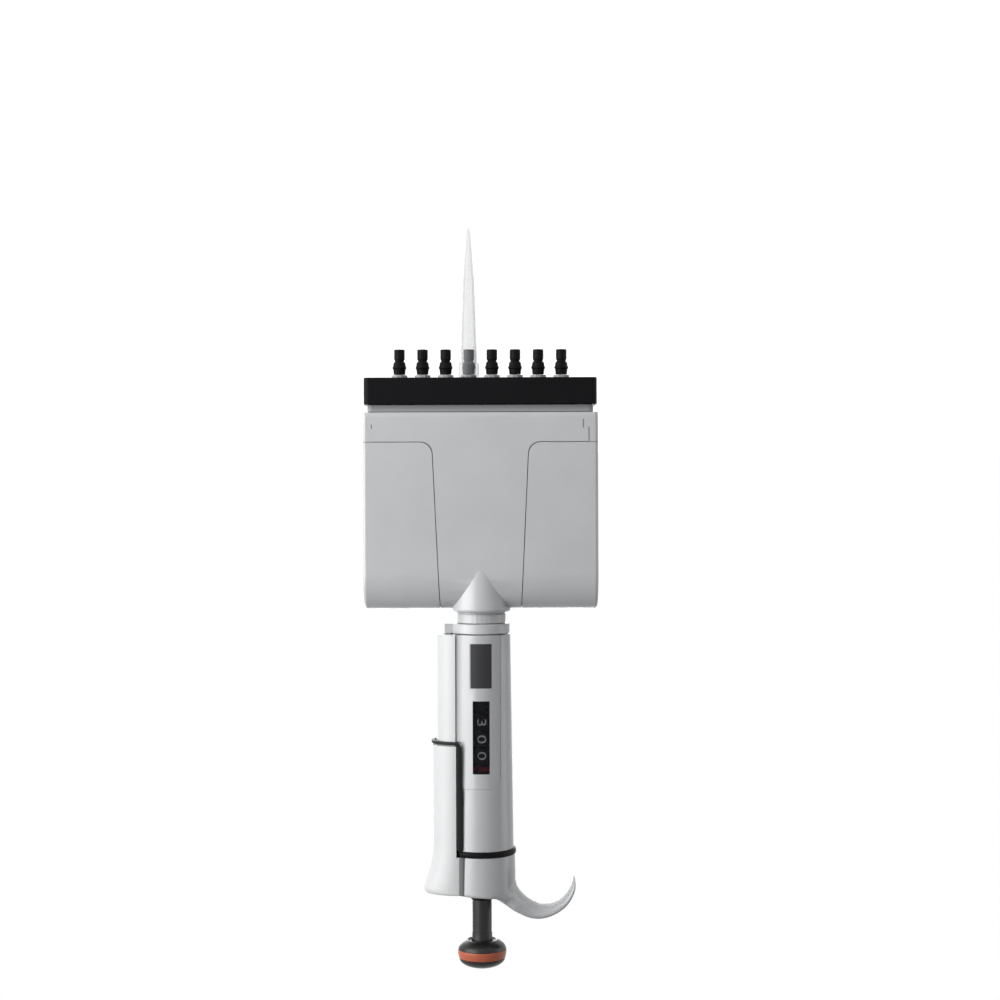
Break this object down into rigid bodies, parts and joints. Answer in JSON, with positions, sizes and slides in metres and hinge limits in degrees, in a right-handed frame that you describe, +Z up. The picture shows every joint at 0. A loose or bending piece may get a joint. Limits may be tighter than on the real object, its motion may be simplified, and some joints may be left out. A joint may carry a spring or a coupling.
{
  "type": "multichannel micropipette",
  "caption": "Handheld multichannel air-displacement pipette with volume counter, ejector button, finger hook and a row of tip cones.",
  "frame": {"origin": "on the handle's axis, level with the end of the fitted tip", "axes": "+Z up the handle from the tips to the knob, +X along the row of cones towards the ejector button, -Y the front with the counter window"},
  "size_m": [0.0906, 0.0268, 0.2884],
  "materials": {
    "grey_shell": "light grey moulded plastic with a fine satin grain",
    "white_shell": "off-white moulded plastic, satin",
    "black_plastic": "black moulded plastic, satin",
    "dark_plastic": "dark warm grey plastic, satin",
    "orange_plastic": "orange colour code ring, satin",
    "clear_tip": "translucent white polypropylene",
    "window_black": "smoked window over black counter drums",
    "label_grey": "bare dark grey inlay",
    "steel": "ground stainless steel",
    "inner_plastic": "natural engineering plastic"
  },
  "bodies": {
    "handle": {"handle_body": "grey_shell", "window_plate": "grey_shell", "label_inlay": "label_grey", "display_lens": "window_black", "hook_ring": "black_plastic", "stem_bush": "dark_plastic", "ejector_guide": "white_shell", "neck_tube": "inner_plastic", "counter_core": "dark_plastic", "dial_bearing": "inner_plastic", "plunger_spring": "steel", "ejector_spring": "steel"},
    "hook": {"finger_hook": "grey_shell"},
    "dial": {"setting_sleeve": "dark_plastic", "units_drum": "window_black"},
    "tens": {"tens_drum": "window_black"},
    "hundreds": {"hundreds_drum": "window_black"},
    "plunger": {"plunger_stem": "dark_plastic", "plunger_rod": "steel", "knob_body": "dark_plastic", "knob_colour_ring": "orange_plastic", "knob_cap": "dark_plastic"},
    "ejector": {"ejector_button": "white_shell", "button_trim": "black_plastic", "ejector_arm": "steel", "ejector_collar": "white_shell"},
    "module": {"module_front_cover": "grey_shell", "module_back_cover": "grey_shell", "module_left_cover": "grey_shell", "module_right_cover": "grey_shell", "cylinder_block": "grey_shell", "module_bridge": "inner_plastic", "swivel_spigot": "inner_plastic", "tip_cone_1": "black_plastic", "tip_cone_2": "black_plastic", "tip_cone_3": "black_plastic", "tip_cone_4": "black_plastic", "tip_cone_5": "black_plastic", "tip_cone_6": "black_plastic", "tip_cone_7": "black_plastic", "tip_cone_8": "black_plastic"},
    "pump": {"piston_carrier": "inner_plastic", "drive_rod": "steel", "piston_1": "steel", "piston_2": "steel", "piston_3": "steel", "piston_4": "steel", "piston_5": "steel", "piston_6": "steel", "piston_7": "steel", "piston_8": "steel"},
    "tip_stripper": {"ejector_bar": "black_plastic", "ejector_rod_left": "steel", "ejector_rod_right": "steel", "ejector_yoke": "inner_plastic", "ejector_push_sleeve": "grey_shell"},
    "tip": {"pipette_tip": "clear_tip"}
  },
  "joints": [
    {"name": "hook_turn", "type": "hinge", "parent": "handle", "child": "hook", "pos_m": [0, 0, 0.251], "axis": [0, 0, 1], "range_deg": [-60, 60]},
    {"name": "volume_turn", "type": "hinge", "parent": "handle", "child": "dial", "pos_m": [0, 0, 0.22], "axis": [0, 0, 1], "range_deg": [-9720, 0]},
    {"name": "tens_turn", "type": "hinge", "parent": "handle", "child": "tens", "pos_m": [0, 0, 0.1988], "axis": [0, 0, 1], "range_deg": [-972, 0]},
    {"name": "hundreds_turn", "type": "hinge", "parent": "handle", "child": "hundreds", "pos_m": [0, 0, 0.1924], "axis": [0, 0, 1], "range_deg": [-97.2, 0]},
    {"name": "plunger_press", "type": "slide", "parent": "dial", "child": "plunger", "axis": [0, 0, -1], "range_m": [0, 0.0125], "stiffness_N_per_m": 300, "springref_m": -0.006, "deforming": ["plunger_spring"]},
    {"name": "ejector_press", "type": "slide", "parent": "handle", "child": "ejector", "axis": [0, 0, -1], "range_m": [0, 0.0044], "stiffness_N_per_m": 900, "springref_m": -0.004, "deforming": ["ejector_spring"]},
    {"name": "module_swivel", "type": "hinge", "parent": "handle", "child": "module", "pos_m": [0, 0, 0.15], "axis": [0, 0, 1], "continuous": true},
    {"name": "piston_slide", "type": "slide", "parent": "module", "child": "pump", "axis": [0, 0, -1], "range_m": [0, 0.0125]},
    {"name": "bar_slide", "type": "slide", "parent": "module", "child": "tip_stripper", "axis": [0, 0, -1], "range_m": [0, 0.0044]},
    {"name": "tip_release", "type": "slide", "parent": "module", "child": "tip", "axis": [0, 0, -1], "range_m": [0, 0.0044]}
  ],
  "couplings": [
    {"joint": "tens_turn", "follows": "volume_turn", "ratio": 0.1},
    {"joint": "hundreds_turn", "follows": "volume_turn", "ratio": 0.01},
    {"joint": "piston_slide", "follows": "plunger_press", "ratio": 1},
    {"joint": "bar_slide", "follows": "ejector_press", "ratio": 1},
    {"joint": "tip_release", "follows": "ejector_press", "ratio": 1}
  ]
}
